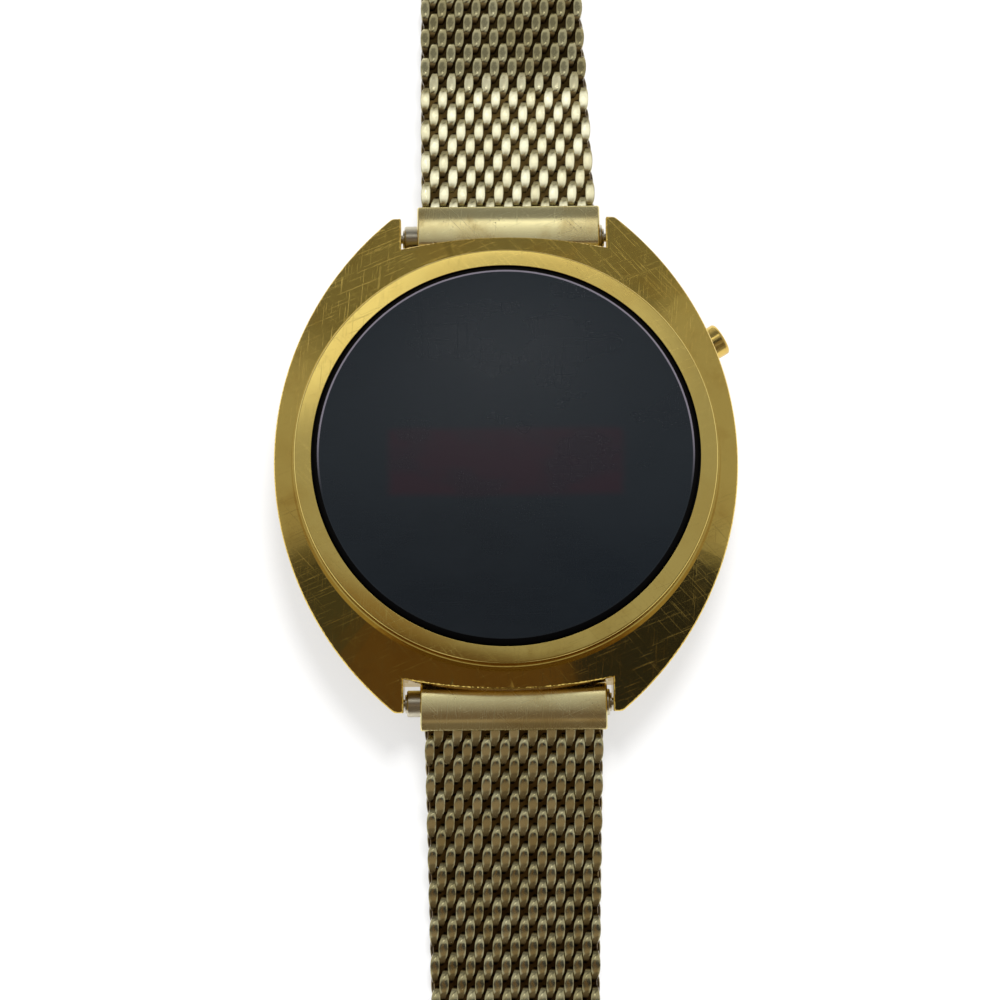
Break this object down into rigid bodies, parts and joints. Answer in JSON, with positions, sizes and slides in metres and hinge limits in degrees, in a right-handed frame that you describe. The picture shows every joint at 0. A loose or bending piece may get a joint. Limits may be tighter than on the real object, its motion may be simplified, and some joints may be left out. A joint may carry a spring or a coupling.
{
  "type": "led wristwatch",
  "caption": "Round gold-plated wristwatch with a dark display crystal, a push button and a woven mesh band with a sliding clasp, lying open on its back.",
  "frame": {"origin": "centre of the case back's outer face", "axes": "+Z out of the dial, +Y towards twelve o'clock, +X towards three o'clock"},
  "size_m": [0.0402, 0.2498, 0.011],
  "materials": {
    "case_gold": "mirror-polished gold plate with fine scratches",
    "bezel_gold": "polished gold plate, worn at the rim",
    "button_gold": "polished gold plate",
    "dark_crystal": "dark tinted glass with hairline scratches",
    "seal_rubber": "black seal",
    "back_steel": "circular brushed steel",
    "bar_steel": "turned steel, dull",
    "spring_steel": "spring steel strip and wire",
    "mask_black": "matt black film",
    "lens_clear": "clear red-tinted plastic",
    "display_ceramic": "dark glazed ceramic",
    "digit_red": "unlit red light-emitting bars",
    "board_green": "lacquered circuit board",
    "chip_black": "moulded chip package",
    "can_steel": "nickel-plated can",
    "trimmer_brown": "moulded trimmer",
    "frame_plastic": "moulded black frame",
    "end_piece_gold": "worn gold plate with tarnish",
    "mesh_gold": "woven flattened coils, worn gold plate",
    "clasp_gold": "brushed gold plate",
    "pin_steel": "turned steel pin"
  },
  "bodies": {
    "case": {"case_middle": "case_gold", "bezel": "bezel_gold", "crystal": "dark_crystal", "crystal_gasket": "seal_rubber", "case_back": "back_steel", "back_gasket": "seal_rubber", "button_tube": "case_gold", "button_spring": "spring_steel", "display_mask": "mask_black", "display_lens": "lens_clear", "led_substrate": "display_ceramic", "led_digits": "digit_red", "circuit_board": "board_green", "module_frame": "frame_plastic", "cell_left": "can_steel", "cell_right": "can_steel", "cell_contacts": "spring_steel", "driver_chip": "chip_black", "quartz_can": "can_steel", "trimmer": "trimmer_brown", "cell_clamp": "spring_steel", "clamp_screws": "spring_steel", "switch_leaf": "spring_steel", "spring_bar_top": "bar_steel", "spring_bar_bottom": "bar_steel", "bar_spring_top": "spring_steel", "bar_spring_bottom": "spring_steel"},
    "push_button": {"push_button": "button_gold", "button_clip": "spring_steel"},
    "bar_tip_top_left": {"bar_tip_top_left": "bar_steel"},
    "bar_tip_top_right": {"bar_tip_top_right": "bar_steel"},
    "bar_tip_bottom_left": {"bar_tip_bottom_left": "bar_steel"},
    "bar_tip_bottom_right": {"bar_tip_bottom_right": "bar_steel"},
    "end_piece_top": {"end_piece_top": "end_piece_gold"},
    "end_piece_bottom": {"end_piece_bottom": "end_piece_gold"},
    "mesh_top_1": {"mesh_top_1": "mesh_gold"},
    "mesh_top_2": {"mesh_top_2": "mesh_gold"},
    "mesh_top_3": {"mesh_top_3": "mesh_gold"},
    "mesh_top_4": {"mesh_top_4": "mesh_gold"},
    "mesh_top_5": {"mesh_top_5": "mesh_gold"},
    "mesh_top_6": {"mesh_top_6": "mesh_gold", "ferrule": "clasp_gold", "hook_bar": "pin_steel"},
    "mesh_bottom_1": {"mesh_bottom_1": "mesh_gold"},
    "mesh_bottom_2": {"mesh_bottom_2": "mesh_gold"},
    "mesh_bottom_3": {"mesh_bottom_3": "mesh_gold"},
    "mesh_bottom_4": {"mesh_bottom_4": "mesh_gold"},
    "mesh_bottom_5": {"mesh_bottom_5": "mesh_gold"},
    "mesh_bottom_6": {"mesh_bottom_6": "mesh_gold"},
    "mesh_bottom_7": {"mesh_bottom_7": "mesh_gold"},
    "mesh_bottom_8": {"mesh_bottom_8": "mesh_gold"},
    "mesh_tail": {"mesh_tail": "mesh_gold", "tail_tip": "clasp_gold"},
    "clasp_slider": {"clasp_slider": "clasp_gold", "lever_pin": "pin_steel", "hook_pin": "pin_steel"},
    "lock_lever": {"lock_lever": "clasp_gold"},
    "hook_plate": {"hook_plate": "clasp_gold"}
  },
  "joints": [
    {"name": "button_press", "type": "slide", "parent": "case", "child": "push_button", "axis": [0.8572, 0.515, 0], "range_m": [-0.0005, 0], "stiffness_N_per_m": 2500, "springref_m": 0.0003, "deforming": ["button_spring"]},
    {"name": "bar_tip_top_left_slide", "type": "slide", "parent": "case", "child": "bar_tip_top_left", "axis": [-1, 0, 0], "range_m": [-0.00095, 0], "stiffness_N_per_m": 800, "springref_m": 0.0008, "deforming": ["bar_spring_top"]},
    {"name": "bar_tip_top_right_slide", "type": "slide", "parent": "case", "child": "bar_tip_top_right", "axis": [1, 0, 0], "range_m": [-0.00095, 0], "stiffness_N_per_m": 800, "springref_m": 0.0008, "deforming": ["bar_spring_top"]},
    {"name": "bar_tip_bottom_left_slide", "type": "slide", "parent": "case", "child": "bar_tip_bottom_left", "axis": [-1, 0, 0], "range_m": [-0.00095, 0], "stiffness_N_per_m": 800, "springref_m": 0.0008, "deforming": ["bar_spring_bottom"]},
    {"name": "bar_tip_bottom_right_slide", "type": "slide", "parent": "case", "child": "bar_tip_bottom_right", "axis": [1, 0, 0], "range_m": [-0.00095, 0], "stiffness_N_per_m": 800, "springref_m": 0.0008, "deforming": ["bar_spring_bottom"]},
    {"name": "swing_top", "type": "hinge", "parent": "case", "child": "end_piece_top", "pos_m": [0.00045, 0.0208, 0.0049], "axis": [1, 0, 0], "range_deg": [-82, 30]},
    {"name": "swing_bottom", "type": "hinge", "parent": "case", "child": "end_piece_bottom", "pos_m": [0.00045, -0.0208, 0.0049], "axis": [1, 0, 0], "range_deg": [-35, 75]},
    {"name": "flex_top_1", "type": "hinge", "parent": "end_piece_top", "child": "mesh_top_1", "pos_m": [0.00045, 0.02404, 0.00462], "axis": [1, 0, 0], "range_deg": [-40, 15]},
    {"name": "flex_top_2", "type": "hinge", "parent": "mesh_top_1", "child": "mesh_top_2", "pos_m": [0.00045, 0.03478, 0.00311], "axis": [-1, 0, 0], "range_deg": [-15, 40]},
    {"name": "flex_top_3", "type": "hinge", "parent": "mesh_top_2", "child": "mesh_top_3", "pos_m": [0.00045, 0.04539, 0.00085], "axis": [1, 0, 0], "range_deg": [-40, 15]},
    {"name": "flex_top_4", "type": "hinge", "parent": "mesh_top_3", "child": "mesh_top_4", "pos_m": [0.00045, 0.05625, 0.00085], "axis": [-1, 0, 0], "range_deg": [-15, 40]},
    {"name": "flex_top_5", "type": "hinge", "parent": "mesh_top_4", "child": "mesh_top_5", "pos_m": [0.00045, 0.0671, 0.00085], "axis": [1, 0, 0], "range_deg": [-40, 15]},
    {"name": "flex_top_6", "type": "hinge", "parent": "mesh_top_5", "child": "mesh_top_6", "pos_m": [0.00045, 0.07795, 0.00085], "axis": [-1, 0, 0], "range_deg": [-15, 40]},
    {"name": "flex_bottom_1", "type": "hinge", "parent": "end_piece_bottom", "child": "mesh_bottom_1", "pos_m": [0.00045, -0.02398, 0.00422], "axis": [-1, 0, 0], "range_deg": [-40, 15]},
    {"name": "flex_bottom_2", "type": "hinge", "parent": "mesh_bottom_1", "child": "mesh_bottom_2", "pos_m": [0.00045, -0.03459, 0.00197], "axis": [1, 0, 0], "range_deg": [-15, 40]},
    {"name": "flex_bottom_3", "type": "hinge", "parent": "mesh_bottom_2", "child": "mesh_bottom_3", "pos_m": [0.00045, -0.04538, 0.00085], "axis": [-1, 0, 0], "range_deg": [-40, 15]},
    {"name": "flex_bottom_4", "type": "hinge", "parent": "mesh_bottom_3", "child": "mesh_bottom_4", "pos_m": [0.00045, -0.05623, 0.00085], "axis": [1, 0, 0], "range_deg": [-15, 40]},
    {"name": "flex_bottom_5", "type": "hinge", "parent": "mesh_bottom_4", "child": "mesh_bottom_5", "pos_m": [0.00045, -0.06708, 0.00085], "axis": [-1, 0, 0], "range_deg": [-40, 15]},
    {"name": "flex_bottom_6", "type": "hinge", "parent": "mesh_bottom_5", "child": "mesh_bottom_6", "pos_m": [0.00045, -0.07793, 0.00085], "axis": [1, 0, 0], "range_deg": [-15, 40]},
    {"name": "flex_bottom_7", "type": "hinge", "parent": "mesh_bottom_6", "child": "mesh_bottom_7", "pos_m": [0.00045, -0.08878, 0.00085], "axis": [-1, 0, 0], "range_deg": [-40, 15]},
    {"name": "flex_bottom_8", "type": "hinge", "parent": "mesh_bottom_7", "child": "mesh_bottom_8", "pos_m": [0.00045, -0.09963, 0.00085], "axis": [1, 0, 0], "range_deg": [-15, 40]},
    {"name": "flex_bottom_9", "type": "hinge", "parent": "mesh_bottom_8", "child": "mesh_tail", "pos_m": [0.00045, -0.11047, 0.0014], "axis": [-1, 0, 0], "range_deg": [-40, 15]},
    {"name": "clasp_slide", "type": "slide", "parent": "mesh_tail", "child": "clasp_slider", "axis": [0, -1, 0], "range_m": [-0.008, 0.0018]},
    {"name": "lever_lift", "type": "hinge", "parent": "clasp_slider", "child": "lock_lever", "pos_m": [0.00045, -0.12607, 0.00325], "axis": [-1, 0, 0], "range_deg": [0, 100]},
    {"name": "hook_fold", "type": "hinge", "parent": "clasp_slider", "child": "hook_plate", "pos_m": [0.00045, -0.14037, 0.00335], "axis": [-1, 0, 0], "range_deg": [0, 110]}
  ]
}
